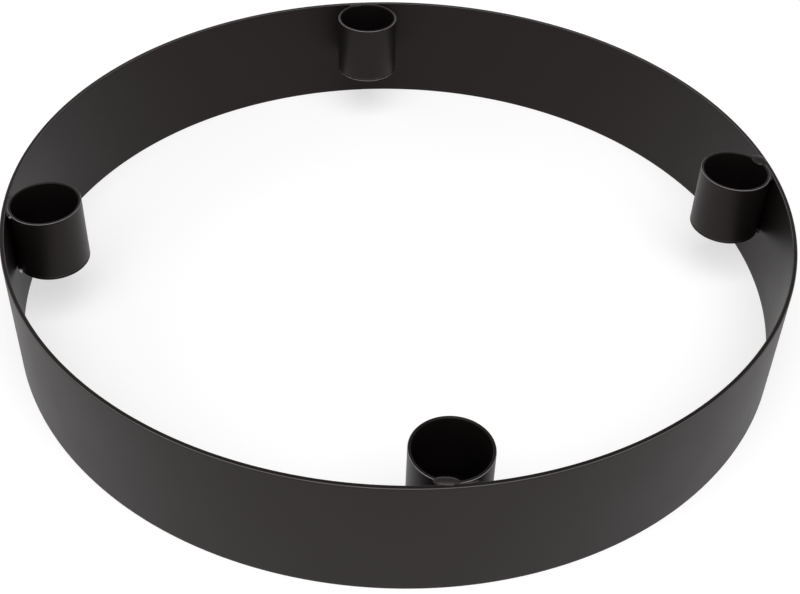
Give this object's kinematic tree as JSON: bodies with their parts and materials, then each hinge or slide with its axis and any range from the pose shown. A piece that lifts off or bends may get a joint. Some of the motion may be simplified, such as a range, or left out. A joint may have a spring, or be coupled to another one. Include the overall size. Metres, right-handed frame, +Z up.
{
  "type": "candle ring",
  "caption": "Ring of flat black steel strip standing on its edge, with open round candle cups welded to its inner face, level with its top edge.",
  "frame": {"origin": "centre of the ring, in the plane of the lower edge that it stands on", "axes": "+Z up along the ring's axis, +X to the right cup and +Y to the back cup as the picture shows the ring"},
  "size_m": [0.28, 0.28, 0.0456],
  "materials": {
    "band_coat": "satin black powder coat",
    "cup_coat": "satin black powder coat",
    "weld_coat": "satin black powder coat over a rippled weld bead"
  },
  "bodies": {
    "root": {"ring_band": "band_coat", "ring_seam_weld": "band_coat", "cup_tube_front": "cup_coat", "cup_tube_right": "cup_coat", "cup_tube_back": "cup_coat", "cup_tube_left": "cup_coat", "cup_floor_front": "cup_coat", "cup_floor_right": "cup_coat", "cup_floor_back": "cup_coat", "cup_floor_left": "cup_coat", "rim_weld_front": "weld_coat", "rim_weld_right": "weld_coat", "rim_weld_back": "weld_coat", "rim_weld_left": "weld_coat", "foot_weld_front": "weld_coat", "foot_weld_right": "weld_coat", "foot_weld_back": "weld_coat", "foot_weld_left": "weld_coat"}
  },
  "joints": []
}
